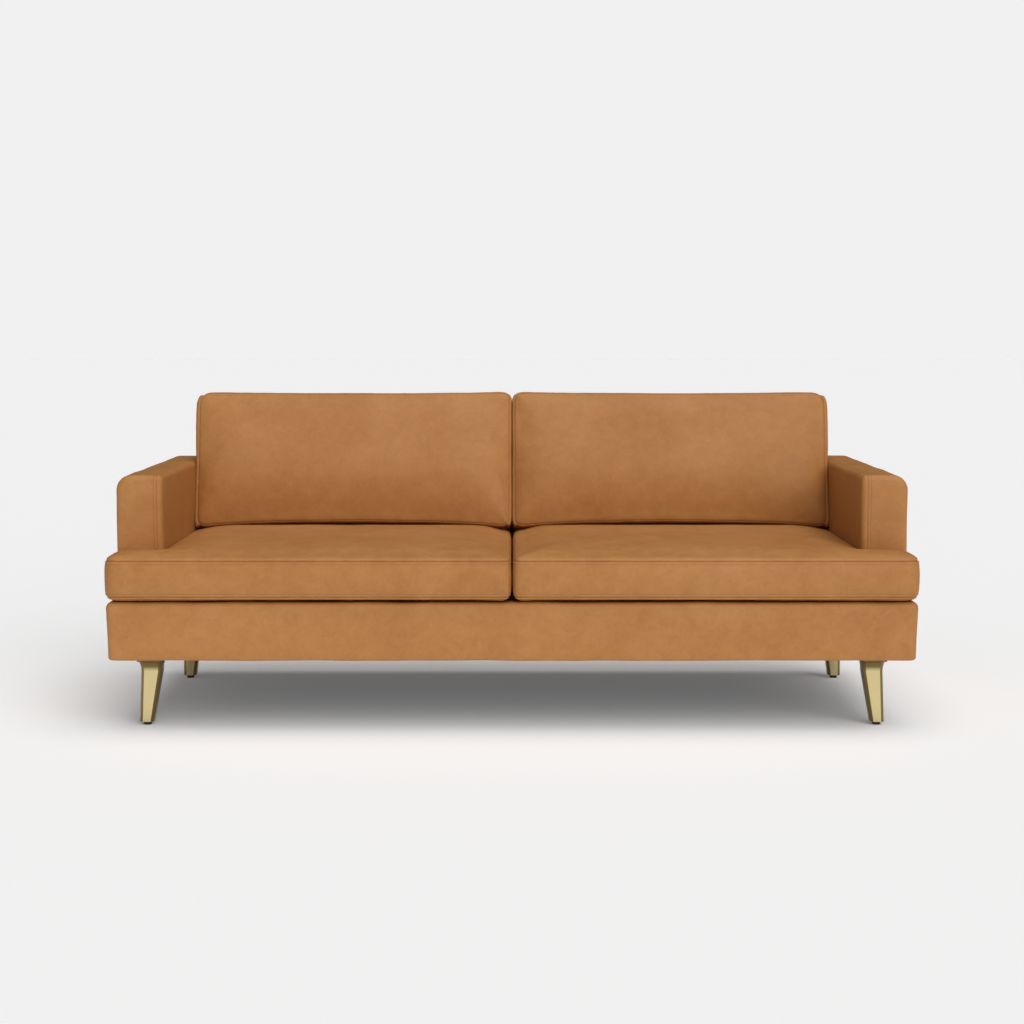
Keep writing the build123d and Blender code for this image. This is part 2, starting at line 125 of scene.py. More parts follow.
world = bpy.data.worlds.new("pale studio")
scene.world = world
world.use_nodes = True
tree = world.node_tree
tree.nodes.clear()
direction = add_node(tree, "ShaderNodeTexCoord").outputs["Generated"]
forward = add_node(tree, "ShaderNodeSeparateXYZ", {"Vector": direction}).outputs["Y"]
glow = add_node(tree, "ShaderNodeMapRange", {
    "Value": forward, "From Min": -1.0, "From Max": 0.3, "To Min": 0.38, "To Max": 0.06},
    interpolation_type="SMOOTHSTEP")
walls = add_node(tree, "ShaderNodeBackground", {"Color": (1, 1, 1, 1), "Strength": glow.outputs["Result"]})
backdrop = add_node(tree, "ShaderNodeBackground", {"Color": srgb("#F1F1F1"), "Strength": 1.0})
seen = add_node(tree, "ShaderNodeLightPath").outputs["Is Camera Ray"]
both = add_node(tree, "ShaderNodeMixShader", {0: seen, 1: walls.outputs[0], 2: backdrop.outputs[0]})
add_node(tree, "ShaderNodeOutputWorld", {"Surface": both.outputs[0]})
scene.view_settings.view_transform = "Standard"


# Base cover: aniline leather pulled over the foam of the base and stapled under the rails.
# The band is one panel across the front, a little narrower at the bottom, with soft edges.

def aniline_leather():
    # Aniline-dyed cowhide: clear dye over natural grain, so the tan drifts in soft clouds a hand
    # wide, the surface is close to matt, and fine pores and pebbles break up its highlights.
    material, tree, shader = new_material("tan aniline cowhide")
    place = add_node(tree, "ShaderNodeTexCoord").outputs["Object"]
    cloud_mm, blotch_mm, pull_mm, grain_mm = 170, 34, 9, 2.6
    clouds = add_node(tree, "ShaderNodeTexNoise", {
        "Vector": place, "Scale": 1000 / cloud_mm, "Detail": 3.0, "Roughness": 0.55, "Distortion": 0.4})
    blotches = add_node(tree, "ShaderNodeTexNoise", {
        "Vector": place, "Scale": 1000 / blotch_mm, "Detail": 4.0, "Roughness": 0.6, "Distortion": 0.6})
    pull = add_node(tree, "ShaderNodeTexNoise", {
        "Vector": place, "Scale": 1000 / pull_mm, "Detail": 3.0, "Roughness": 0.7})
    grain = add_node(tree, "ShaderNodeTexVoronoi", {
        "Vector": place, "Scale": 1000 / grain_mm, "Randomness": 1.0}, feature="SMOOTH_F1")
    drift = add_node(tree, "ShaderNodeMath", {
        0: clouds.outputs["Fac"], 1: blotches.outputs["Fac"]}, operation="ADD")
    fleck = add_node(tree, "ShaderNodeMath", {
        0: pull.outputs["Fac"], 1: 0.5, 2: drift.outputs[0]}, operation="MULTIPLY_ADD")
    tone = add_node(tree, "ShaderNodeMapRange", {
        "Value": fleck.outputs[0], "From Min": 0.80, "From Max": 1.70, "To Min": 0.0, "To Max": 1.0})
    dye = add_node(tree, "ShaderNodeValToRGB", {"Fac": tone.outputs["Result"]})
    ramp = dye.color_ramp.elements
    ramp[0].position, ramp[0].color = 0.0, srgb("#A66D37")
    ramp[1].position, ramp[1].color = 1.0, srgb("#BB844D")
    middle = dye.color_ramp.elements.new(0.5)
    middle.color = srgb("#B17941")
    tree.links.new(dye.outputs["Color"], shader.inputs["Base Color"])
    gloss = add_node(tree, "ShaderNodeMapRange", {
        "Value": blotches.outputs["Fac"], "From Min": 0.3, "From Max": 0.7, "To Min": 0.5, "To Max": 0.62})
    tree.links.new(gloss.outputs["Result"], shader.inputs["Roughness"])
    shader.inputs["IOR"].default_value = 1.48
    shader.inputs["Specular IOR Level"].default_value = 0.35
    creases = add_node(tree, "ShaderNodeBump", {
        "Height": blotches.outputs["Fac"], "Strength": 0.12, "Distance": 0.0015})
    pebble = add_node(tree, "ShaderNodeBump", {
        "Height": grain.outputs["Distance"], "Strength": 0.2, "Distance": 0.0003,
        "Normal": creases.outputs["Normal"]})
    tree.links.new(pebble.outputs["Normal"], shader.inputs["Normal"])
    return material


def add_block(name, low, high):
    """A primitive cube between two corners, its place in its mesh."""
    bpy.ops.object.select_all(action="DESELECT")
    bpy.ops.mesh.primitive_cube_add(size=1, location=(Vector(low) + Vector(high)) / 2)
    piece = bpy.context.object
    piece.name = piece.data.name = name
    piece.scale = Vector(high) - Vector(low)
    bpy.ops.object.transform_apply(location=True, rotation=True, scale=True)
    return piece


def pick(piece, kind, test):
    """In edit mode, selects only the edges or faces that pass the test, which is given the middle
    of each, and its normal or the way that it runs."""
    bpy.ops.mesh.select_mode(type=kind)
    bpy.ops.mesh.select_all(action="DESELECT")
    mesh = bmesh.from_edit_mesh(piece.data)
    for item in mesh.faces if kind == "FACE" else mesh.edges:
        points = [vert.co for vert in item.verts]
        middle = sum(points, Vector()) / len(points)
        along = item.normal if kind == "FACE" else (points[1] - points[0]).normalized()
        item.select_set(bool(test(middle, along)))
    bmesh.update_edit_mesh(piece.data)


def spaced(start, end, pitch):
    """Places from start to end, both left out, at most a pitch apart."""
    steps = max(1, math.ceil((end - start) / pitch))
    return [start + (end - start) * i / steps for i in range(1, steps)]


def cut(piece, axis, places):
    """Cuts the faces along planes square to an axis."""
    square = Vector((axis == 0, axis == 1, axis == 2))
    for place in places:
        bpy.ops.mesh.select_all(action="SELECT")
        bpy.ops.mesh.bisect(plane_co=square * place, plane_no=square)


def soften(piece, depth, size, seed, lift=0.0):
    """Moves the surface in and out a little, as foam does under leather, but never into the foam."""
    piece.data.update()
    normals = [vert.normal.copy() for vert in piece.data.vertices]
    for vert, normal in zip(piece.data.vertices, normals):
        wave = noise.noise(vert.co / size + Vector((seed, 0, 0)))
        vert.co += normal * (depth * (wave + 0.4) + lift)


def smooth(piece, angle):
    bpy.ops.object.select_all(action="DESELECT")
    piece.select_set(True)
    bpy.context.view_layer.objects.active = piece
    bpy.ops.object.shade_smooth_by_angle(angle=math.radians(angle))


def dress(piece, body, slot, material, *nodes):
    """Gives a finished piece its material and its body, and hides the nodes that it stands for."""
    piece.data.materials.clear()
    piece.data.materials.append(material)
    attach(piece, body)
    if nodes:
        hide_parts(*nodes)


leather = aniline_leather()
low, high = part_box("base_cover")
base_spread, base_taper = 0.002, 0.0035   # each side wider at the top, and drawn in to the bottom
corner_roll, top_roll, hem_roll, back_edge_roll = 0.020, 0.015, 0.007, 0.006
leather_thick = 0.0012
edge_pitch = 0.03
base = add_block("base_leather", low, high)
bpy.ops.object.mode_set(mode="EDIT")
pick(base, "EDGE", lambda m, a: abs(a.z) > 0.9 and m.y < 0)
bpy.ops.mesh.bevel(offset=corner_roll, segments=5)
pick(base, "EDGE", lambda m, a: abs(a.z) < 0.1 and m.z > high.z - 0.001 and m.y < high.y - 0.001)
bpy.ops.mesh.bevel(offset=top_roll, segments=5)
pick(base, "EDGE", lambda m, a: abs(a.z) < 0.1 and m.z < low.z + 0.001 and m.y < high.y - 0.001)
bpy.ops.mesh.bevel(offset=hem_roll, segments=4)
pick(base, "EDGE", lambda m, a: m.y > high.y - 0.001)
bpy.ops.mesh.bevel(offset=back_edge_roll, segments=3)
cut(base, 0, spaced(low.x + corner_roll, high.x - corner_roll, edge_pitch))
cut(base, 1, spaced(low.y + corner_roll, high.y - corner_roll, edge_pitch))
cut(base, 2, spaced(low.z + hem_roll, high.z - top_roll, edge_pitch))
deck_low, deck_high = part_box("deck_cloth")
under_low, under_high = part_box("dust_cover")
cut(base, 0, [deck_low.x, deck_high.x, under_low.x, under_high.x])
cut(base, 1, [deck_low.y, deck_high.y, under_low.y, under_high.y])
pick(base, "FACE", lambda m, a: (
    a.z > 0.9 and deck_low.x < m.x < deck_high.x and m.y > deck_low.y and m.y < deck_high.y) or (
    a.z < -0.9 and under_low.x < m.x < under_high.x and under_low.y < m.y < under_high.y))
bpy.ops.mesh.delete(type="FACE")
bpy.ops.object.mode_set(mode="OBJECT")
for vert in base.data.vertices:
    vert.co.x *= 1 + (base_spread - base_taper * (high.z - vert.co.z) / (high.z - low.z)) / high.x
soften(base, depth=0.0018, size=0.11, seed=3)
hide = base.modifiers.new("hide", "SOLIDIFY")
hide.thickness, hide.offset = leather_thick, -1
bpy.context.view_layer.objects.active = base
bpy.ops.object.modifier_apply(modifier="hide")
smooth(base, 45)
dress(base, "frame", "tan_leather", leather, "base_cover")


# Arm covers: a band over the front and top sewn to an inner panel that rolls round the edge,
# with a felled seam and one row of topstitching on the band. They are glued to foam.

def bonded_thread():
    # Bonded polyester upholstery thread, 0.8 mm thick: a dull sheen and a faint twist.
    material, tree, shader = new_material("bonded polyester thread")
    place = add_node(tree, "ShaderNodeTexCoord").outputs["Object"]
    twist_mm = 1.2
    twist = add_node(tree, "ShaderNodeTexWave", {
        "Vector": place, "Scale": 1000 / twist_mm / 6}, bands_direction="DIAGONAL")
    strand = add_node(tree, "ShaderNodeValToRGB", {"Fac": twist.outputs["Fac"]})
    strand.color_ramp.elements[0].color = srgb("#8A5A32")
    strand.color_ramp.elements[1].color = srgb("#A8744A")
    tree.links.new(strand.outputs["Color"], shader.inputs["Base Color"])
    shader.inputs["Roughness"].default_value = 0.55
    shader.inputs["IOR"].default_value = 1.55
    return material


def mark(piece, group, test):
    """Puts the vertices that pass the test into a vertex group."""
    members = [vert.index for vert in piece.data.vertices if test(vert.co)]
    (piece.vertex_groups.get(group) or piece.vertex_groups.new(name=group)).add(members, 1.0, "REPLACE")


def members(piece, group):
    """Vertices that lie fully on a marked line."""
    number = piece.vertex_groups[group].index
    return [vert for vert in piece.data.vertices
            if any(g.group == number and g.weight > 0.98 for g in vert.groups)]


def nearness(piece, group):
    """A search tree of the points along a marked line."""
    line = []
    inside = {vert.index for vert in members(piece, group)}
    for edge in piece.data.edges:
        a, b = edge.vertices
        if a in inside and b in inside:
            start, end = piece.data.vertices[a].co, piece.data.vertices[b].co
            steps = max(1, round((end - start).length / 0.002))
            line += [start.lerp(end, i / steps) for i in range(steps + 1)]
    tree = kdtree.KDTree(len(line))
    for number, point in enumerate(line):
        tree.insert(point, number)
    tree.balance()
    return tree


def sink(piece, group, depth, reach):
    """Presses a marked line into the surface, as a seam is pulled down by its thread."""
    piece.data.update()
    line = nearness(piece, group)
    moves = []
    for vert in piece.data.vertices:
        away = line.find(vert.co)[2]
        if away < reach:
            moves.append((vert, vert.normal * -depth * (1 - away / reach) ** 2))
    for vert, move in moves:
        vert.co += move


def lines_of(piece, group):
    """The marked line as runs of points, each with whether it closes on itself."""
    piece.data.update()
    inside = {vert.index for vert in members(piece, group)}
    joined = {index: [] for index in inside}
    for edge in piece.data.edges:
        a, b = edge.vertices
        if a in inside and b in inside:
            joined[a].append(b)
            joined[b].append(a)
    left, runs = set(inside), []
    while left:
        ends = [index for index in left if len(joined[index]) == 1]
        at = min(ends) if ends else min(left)
        closed, run = not ends, [at]
        left.discard(at)
        while True:
            ahead = [index for index in joined[at] if index in left]
            if not ahead:
                break
            at = ahead[0]
            left.discard(at)
            run.append(at)
        if len(run) > 3:
            runs.append(([piece.data.vertices[index].co.copy() for index in run], closed))
    return runs


stitch_length, stitch_gap, thread_width = 0.0045, 0.0016, 0.0011


def stitch(name, runs, body):
    """Rows of stitches: one stitch, repeated along each run of points."""
    rows = []
    for points, closed in runs:
        path = bpy.data.curves.new(name + "_path", "CURVE")
        path.dimensions = "3D"
        spline = path.splines.new("POLY")
        spline.points.add(len(points) - 1)
        for point, at in zip(spline.points, points):
            point.co = (*at, 1)
        spline.use_cyclic_u = closed
        route = bpy.data.objects.new(name + "_route", path)
        scene.collection.objects.link(route)
        bpy.ops.object.select_all(action="DESELECT")
        bpy.ops.mesh.primitive_uv_sphere_add(
            segments=6, ring_count=4, radius=0.5, rotation=(0, math.pi / 2, 0))
        row = bpy.context.object
        bpy.ops.object.transform_apply(location=False, rotation=True, scale=False)
        row.scale = (stitch_length, thread_width, thread_width)
        row.location.x = stitch_length / 2
        bpy.ops.object.transform_apply(location=True, rotation=False, scale=True)
        repeat = row.modifiers.new("repeat", "ARRAY")
        repeat.fit_type, repeat.curve = "FIT_CURVE", route
        repeat.use_relative_offset, repeat.use_constant_offset = False, True
        repeat.constant_offset_displace = (stitch_length + stitch_gap, 0, 0)
        follow = row.modifiers.new("follow", "CURVE")
        follow.object = route
        bpy.ops.object.modifier_apply(modifier="repeat")
        bpy.ops.object.modifier_apply(modifier="follow")
        bpy.data.objects.remove(route)
        rows.append(row)
    bpy.ops.object.select_all(action="DESELECT")
    for row in rows:
        row.select_set(True)
    bpy.context.view_layer.objects.active = rows[0]
    if len(rows) > 1:
        bpy.ops.object.join()
    thread_rows = bpy.context.object
    thread_rows.name = thread_rows.data.name = name
    dress(thread_rows, body, "tan_leather", thread)


thread = bonded_thread()
arm_radius = 0.040
arm_roll, rear_roll = 0.013, 0.004
seam_from_edge = 0.015
stitch_from_seam = 0.008
seam_half = 0.0014
seam_depth, seam_reach = 0.0034, 0.0045
stitch_depth, stitch_reach = 0.0012, 0.003
arm_seam_depth = 0.0020
arm_pitch = 0.03
for side in ("right", "left"):
    low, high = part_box("arm_cover_right")
    arm = add_block("arm_leather_" + side, low, high)
    bpy.ops.object.mode_set(mode="EDIT")
    pick(arm, "EDGE", lambda m, a: abs(a.y) > 0.9 and m.z > high.z - 0.001 and m.x > high.x - 0.001)
    bpy.ops.mesh.bevel(offset=arm_radius, segments=9)
    pick(arm, "EDGE", lambda m, a: m.z > low.z + 0.001 and m.y > high.y - 0.001)
    bpy.ops.mesh.bevel(offset=rear_roll, segments=3)
    pick(arm, "EDGE", lambda m, a: m.z > low.z + 0.001 and (
        m.y < low.y + 0.001 or (abs(a.y) > 0.9 and m.x < low.x + 0.001 and m.z > high.z - 0.001)))
    bpy.ops.mesh.bevel(offset=arm_roll, segments=5)
    seam_x = low.x + seam_from_edge
    stitch_x = seam_x + stitch_from_seam
    near = [line + side * seam_half for line in (seam_x, stitch_x) for side in (-2, -1, 0, 1, 2)]
    cut(arm, 0, near + spaced(stitch_x + 2 * seam_half, high.x - arm_radius, arm_pitch))
    cut(arm, 1, spaced(low.y + arm_roll, high.y - arm_roll, arm_pitch))
    cut(arm, 2, spaced(low.z, high.z - arm_radius, arm_pitch))
    bpy.ops.object.mode_set(mode="OBJECT")
    on_band = lambda co: co.z > high.z - 0.012 or co.y < low.y + 0.012
    shown = lambda co: co.z > low.z + 0.005 and co.y < high.y - arm_roll
    mark(arm, "seam", lambda co: abs(co.x - seam_x) < 1e-4 and on_band(co) and shown(co))
    mark(arm, "stitch", lambda co: abs(co.x - stitch_x) < 1e-4 and on_band(co) and shown(co))
    if side == "left":
        arm.data.transform(Matrix.Scale(-1, 4, (1, 0, 0)))
        arm.data.flip_normals()
    soften(arm, depth=0.0018, size=0.12, seed=7 if side == "left" else 11, lift=0.001)
    sink(arm, "seam", arm_seam_depth, seam_reach)
    sink(arm, "stitch", stitch_depth, stitch_reach)
    rows = lines_of(arm, "stitch")
    smooth(arm, 50)
    dress(arm, "frame", "tan_leather", leather, "arm_cover_" + side)
    stitch("arm_stitching_" + side, rows, "frame")


# Back cover: leather on the tapered back between the arms, its outside panel closed by hand
# at the bottom. The top edge and the ends are softly rounded over thin foam.

low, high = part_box("back_cover")
top_front = min(v.co.y for v in frame["nodes"]["back_cover"].data.vertices if v.co.z > high.z - 0.005)
back_roll = 0.006
back = add_block("back_leather", low, high)
bpy.ops.object.mode_set(mode="EDIT")
pick(back, "EDGE", lambda m, a: m.z > high.z - 0.001 and m.y < low.y + 0.001)
bpy.ops.transform.translate(value=(0, top_front - low.y, 0))
pick(back, "EDGE", lambda m, a: m.z > low.z + 0.001)
bpy.ops.mesh.bevel(offset=back_roll, segments=4)
cut(back, 0, spaced(low.x + back_roll, high.x - back_roll, 0.04))
cut(back, 2, spaced(low.z, high.z - back_roll, 0.04))
cut(back, 1, spaced(low.y, high.y - back_roll, 0.04))
bpy.ops.object.mode_set(mode="OBJECT")
soften(back, depth=0.0015, size=0.15, seed=5)
smooth(back, 45)
dress(back, "frame", "tan_leather", leather, "back_cover")


# Seat cushions: a boxed leather case over a foam core, with an ear in front of the arm.
# The top and bottom panels are sewn to the boxing with felled seams and one row of topstitching,
# and the foam pushes the panels up between their seams. Cloth simulation pulls them taut.

def speckled(name, dark, light, size_mm, roughness, metallic, strength):
    # Small-scale finish whose two tones and tooth come from one fine noise.
    material, tree, shader = new_material(name)
    place = add_node(tree, "ShaderNodeTexCoord").outputs["Object"]
    tooth = add_node(tree, "ShaderNodeTexNoise", {"Vector": place, "Scale": 1000 / size_mm, "Detail": 3.0})
    tone = add_node(tree, "ShaderNodeValToRGB", {"Fac": tooth.outputs["Fac"]})
    tone.color_ramp.elements[0].color = srgb(dark)
    tone.color_ramp.elements[1].color = srgb(light)
    tree.links.new(tone.outputs["Color"], shader.inputs["Base Color"])
    shader.inputs["Roughness"].default_value = roughness
    shader.inputs["Metallic"].default_value = metallic
    bump = add_node(tree, "ShaderNodeBump", {
        "Height": tooth.outputs["Fac"], "Strength": strength, "Distance": size_mm / 4000})
    tree.links.new(bump.outputs["Normal"], shader.inputs["Normal"])
    return material


def inside_by(x, y, outline, pressed=0.0):
    """How far a point lies inside an outline with one corner notched out; sides along the notch
    count as further in where the case is pressed against an arm."""
    x0, x1, y0, y1, notch_x, notch_y = outline
    to_notch = math.hypot(max(0, notch_x - x), max(0, notch_y - y)) + pressed
    return max(0.0, min(x - x0, x1 - x, y - y0, y1 - y, to_notch))


def round_corner(co, corner_x, corner_y, inward_x, inward_y, radius):
    """Turns the square corner of a cushion into an arc, keeping its rows of faces."""
    a = 1 - (co.x - corner_x) * inward_x / radius
    b = 1 - (co.y - corner_y) * inward_y / radius
    if a <= 0 or b <= 0:
        return
    reach = max(a, b) / math.hypot(a, b)
    co.x = corner_x + inward_x * radius * (1 - a * reach)
    co.y = corner_y + inward_y * radius * (1 - b * reach)


def panel_rise(inside, roll_height, roll_width, crown, spread):
    """Height of a stuffed panel above its seam, by the distance inside the seam."""
    turn = min(inside / roll_width, 1)
    return roll_height * math.sqrt(1 - (1 - turn) ** 2) + crown * (1 - math.exp(-inside / spread))


def rows_between(start, end):
    """Places of the rows of faces across a panel: close together beside its seams."""
    close = [0.0012, 0.0024, 0.005, 0.010, 0.018, 0.030]
    return [start + c for c in close] + spaced(start + 0.030, end - 0.030, 0.034) + [end - c for c in close]


def cushion_case(name, outline, low, high, corners, top, under, bulges, turn, pressed, zip_box, zip_side):
    """A boxed case lying flat: outline on the plan, seams at heights low and high, both panels
    stuffed as top and under say, and the boxing bulging between the seams, from each of which it
    turns out within the length turn. The zip's box gives
    the opening for it, on the side that faces along the axis zip_side, and it is marked."""
    x0, x1, y0, y1, notch_x, notch_y = outline
    case = add_block(name, (x0, y0, low), (x1, notch_y, high))
    notched = notch_y < y1
    bpy.ops.object.mode_set(mode="EDIT")
    if notched:
        cut(case, 0, [notch_x])
        pick(case, "FACE", lambda m, a: a.y > 0.9 and m.x < notch_x)
        bpy.ops.mesh.extrude_region_move(TRANSFORM_OT_translate={"value": (0, y1 - notch_y, 0)})
    xs, ys = rows_between(x0, notch_x), rows_between(y0, notch_y)
    if notched:
        xs += rows_between(notch_x, x1)
        ys += rows_between(notch_y, y1) + [notch_y]
    row = stitch_from_seam
    beside = [0.0012, 0.0024, row - 0.0012, row, row + 0.0012]
    zs = [low + b for b in beside] + [high - b for b in beside] + spaced(low + row, high - row, 0.022)
    for axis, places in enumerate((xs, ys, zs)):
        cut(case, axis, sorted(places))
    zip_reach, lip = 0.036, 0.001

    def round_zip(middle, normal):
        near = all(start - zip_reach < at < end + zip_reach
                   for start, at, end in zip(zip_box[0], middle, zip_box[1]))
        return near and abs(normal[zip_side]) > 0.9

    for axis in range(3):
        square = Vector((axis == 0, axis == 1, axis == 2))
        for place in (zip_box[0][axis], zip_box[1][axis]):
            for line in (place - lip, place + lip):
                pick(case, "FACE", round_zip)
                bpy.ops.mesh.bisect(plane_co=square * line, plane_no=square)
    bpy.ops.mesh.select_all(action="SELECT")
    bpy.ops.mesh.remove_doubles(threshold=1e-5)
    bpy.ops.mesh.normals_make_consistent(inside=False)
    bpy.ops.object.mode_set(mode="OBJECT")

    def rim(co):
        return inside_by(co.x, co.y, outline) < 1e-5

    def level(co, *heights):
        return rim(co) and min(abs(co.z - height) for height in heights) < 1e-5

    mark(case, "seam", lambda co: level(co, high, low))
    mark(case, "stitch", lambda co: level(co, high - row, low + row))
    mark(case, "zip", lambda co: all(a < c < b for a, c, b in zip(zip_box[0], co, zip_box[1])))
    for vert in case.data.vertices:
        co = vert.co
        inside = inside_by(co.x, co.y, outline)
        deep = inside_by(co.x, co.y, outline, pressed)
        height = (co.z - low) / (high - low)
        if inside < 1e-5:
            from_seam = max(0.0, min(height, 1 - height)) * (high - low)
            out = math.sqrt(1 - (1 - min(from_seam / turn, 1)) ** 2)
            co.z += panel_rise(deep, *top) * height - panel_rise(deep, *under) * (1 - height)
            for axis, side, place in ((0, -1, x0), (0, 1, x1), (1, -1, y0), (1, 1, y1)):
                if abs(co[axis] - place) < 1e-5:
                    co[axis] += side * out * bulges[axis * 2 + (side > 0)]
        elif height > 0.5:
            co.z += panel_rise(deep, *top)
        else:
            co.z -= panel_rise(deep, *under)
        for corner in corners:
            round_corner(co, *corner)
    return case


free_reach = 0.05            # from a seam to where the leather is free to swell


def stuff(case, pressure, cap, seed):
    """Cloth simulation of the case on its foam: seams hold, panels swell, no further than the cap."""
    held = {vert.index for group in ("seam", "zip") for vert in members(case, group)}
    case.vertex_groups.new(name="pinned").add(list(held), 1.0, "REPLACE")
    line = nearness(case, "seam")
    rest = [vert.co.copy() for vert in case.data.vertices]
    for vert in case.data.vertices:
        vert.co += vert.normal * 0.0005 * noise.noise(vert.co / 0.06 + Vector((0, seed, 0)))
    cloth = case.modifiers.new("stuffing", "CLOTH")
    cloth.settings.quality = 6
    cloth.settings.mass = 0.4
    cloth.settings.tension_stiffness = 25
    cloth.settings.compression_stiffness = 25
    cloth.settings.shear_stiffness = 15
    cloth.settings.bending_stiffness = 1.5
    cloth.settings.use_pressure = True
    cloth.settings.uniform_pressure_force = pressure
    cloth.settings.vertex_group_mass = "pinned"
    cloth.settings.effector_weights.gravity = 0
    cloth.collision_settings.use_collision = False
    for step in range(1, 21):
        scene.frame_set(step)
    swollen = case.evaluated_get(bpy.context.evaluated_depsgraph_get()).data
    moved = [vert.co.copy() for vert in swollen.vertices]
    case.modifiers.remove(cloth)
    scene.frame_set(1)
    for vert, start, end in zip(case.data.vertices, rest, moved):
        move = end - start
        most = cap * min(1, line.find(start)[2] / free_reach)
        if move.length > most:
            move *= most / move.length
        vert.co = start + move


gather_size, gather_reach, gather_start = 0.022, 0.08, 0.005


def pucker(piece, depth, seed):
    """Gathers the leather in small waves beside its seams, where the thread draws it up."""
    piece.data.update()
    line = nearness(piece, "seam")
    moves = []
    for vert in piece.data.vertices:
        away = line.find(vert.co)[2]
        if away < gather_reach:
            wave = noise.noise(vert.co / gather_size + Vector((seed, 0, 0)))
            fade = math.exp(-away / gather_size)
            moves.append((vert, vert.normal * wave * depth * fade * min(1, away / gather_start)))
    for vert, move in moves:
        vert.co += move


def finish_case(case, levels, seed):
    """Smooths the case's faces and presses its seams in; returns the topstitch lines."""
    finer = case.modifiers.new("finer", "SUBSURF")
    finer.levels = finer.render_levels = levels
    bpy.context.view_layer.objects.active = case
    bpy.ops.object.modifier_apply(modifier="finer")
    soften(case, depth=0.0007, size=0.09, seed=seed)
    pucker(case, depth=0.0009, seed=seed)
    sink(case, "seam", seam_depth, seam_reach)
    sink(case, "stitch", stitch_depth, stitch_reach)
    rows = lines_of(case, "stitch")
    smooth(case, 60)
    return rows


def fill_case(case, name, body, node):
    """The foam inside a case: the case's own shape, smaller all round."""
    core = case.copy()
    core.data = case.data.copy()
    core.name = core.data.name = name
    scene.collection.objects.link(core)
    core.data.update()
    normals = [vert.normal.copy() for vert in core.data.vertices]
    for vert, normal in zip(core.data.vertices, normals):
        vert.co -= normal * cover_thick
    finer = core.modifiers.new("finer", "SUBSURF")
    finer.levels = finer.render_levels = 1
    bpy.context.view_layer.objects.active = core
    bpy.ops.object.modifier_apply(modifier="finer")
    smooth(core, 60)
    dress(core, body, "foam", foam, node)


foam = speckled("open-cell polyurethane foam", "#D8CFB4", "#F2EBD6", 1.5, 0.95, 0.0, 0.6)
cover_thick = 0.006
seat_under = (0.012, 0.032, 0.001, 0.1)
seat_top = (0.013, 0.028, 0.021, 0.15)
seat_bulges = (0.0038, 0.005, 0.005, 0.003)
low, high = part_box("seat_cushion_cover_right")
arm_low, arm_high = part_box("arm_cover_right")
arm_gap = 0.0025
seat_outline = (
    low.x + 0.004, high.x - 0.003, low.y + 0.003, high.y - 0.002, arm_low.x - arm_gap, arm_low.y - arm_gap)
seam_low, seam_high = low.z + 0.013, high.z - 0.035
seat_corners = [
    (seat_outline[0], seat_outline[2], 1, 1, 0.022), (seat_outline[1], seat_outline[2], -1, 1, 0.038),
    (seat_outline[1], seat_outline[5], -1, -1, 0.02), (seat_outline[4], seat_outline[3], -1, -1, 0.025),
    (seat_outline[0], seat_outline[3], 1, -1, 0.025)]
tape_low, tape_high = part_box("seat_cushion_zip_right")
tape_room = Vector((0.001, 0.002, 0.002))
tape_clearance = 0.0003
end_room, crown_room, arm_room = 0.004, 0.001, 0.001   # how far a stuffed seat may pass its place
seat_zip = (tape_low - tape_room, Vector((tape_high.x, high.y, tape_high.z)) + tape_room)
for side in ("right", "left"):
    name = "seat_cushion_" + side
    seed = 2 if side == "right" else 9
    seat = cushion_case(
        "seat_leather_" + side, seat_outline, seam_low, seam_high, seat_corners, seat_top, seat_under,
        seat_bulges, turn=0.040, pressed=0.012, zip_box=seat_zip, zip_side=1)
    for vert in members(seat, "zip"):
        vert.co.y = tape_low.y - tape_clearance
    stuff(seat, pressure=3.0, cap=0.006, seed=seed)
    for vert in seat.data.vertices:
        vert.co.x = min(max(vert.co.x, low.x), high.x + end_room)
        vert.co.z = min(max(vert.co.z, low.z), high.z + crown_room)
        if vert.co.y > seat_outline[5] + 0.002 and vert.co.x < seat_outline[4] + 0.007:
            vert.co.x = min(vert.co.x, seat_outline[4] + arm_room)
    if side == "left":
        seat.data.transform(Matrix.Scale(-1, 4, (1, 0, 0)))
        seat.data.flip_normals()
    fill_case(seat, "seat_foam_" + side, name, "seat_cushion_core_" + side)
    rows = finish_case(seat, 2, seed)
    dress(seat, name, "tan_leather", leather, "seat_cushion_cover_" + side)
    stitch("seat_stitching_" + side, rows, name)


# Back cushions: boxed leather cases like the seats, softer filled, leaning on the back. Their
# front panels belly forward low down, and their bottoms settle onto the crown of the seats.

low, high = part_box("back_cushion_cover_right")
back_joint = next(j for j in frame["joints"] if j["child"] == "back_cushion_right")
lean = math.atan2(back_joint["axis"][1], back_joint["axis"][2])
cushion = frame["nodes"]["back_cushion_cover_right"].data.vertices
across = [v.co.y * math.cos(lean) - v.co.z * math.sin(lean) for v in cushion]
along = [v.co.y * math.sin(lean) + v.co.z * math.cos(lean) for v in cushion]
thick = max(across) - min(across)
foot_along = min(a for a, c in zip(along, across) if c < min(across) + 0.03)
tall = max(along) - foot_along
up = Vector((0, math.sin(lean), math.cos(lean)))
ahead = Vector((0, -math.cos(lean), math.sin(lean)))
origin = up * foot_along - ahead * max(across)
arm_top = arm_high.z
back_top = (0.007, 0.016, 0.010, 0.14)
back_under = (0.010, 0.030, 0.002, 0.14)
back_bulges = (0.0078, 0.013, 0.003, 0.006)
front_seam, rear_seam = thick - 0.012, 0.014
belly_height, belly_spread, belly_depth, belly_edge = 0.12, 0.14, 0.022, 0.075
settle, settle_reach, drape = 0.0050, 0.09, 0.9   # onto the crown of the seat, and along it
centre_gap, top_hollow = 0.0002, 0.003
side_room_low, side_room_high = 0.001, 0.005     # beside the arm, and above it
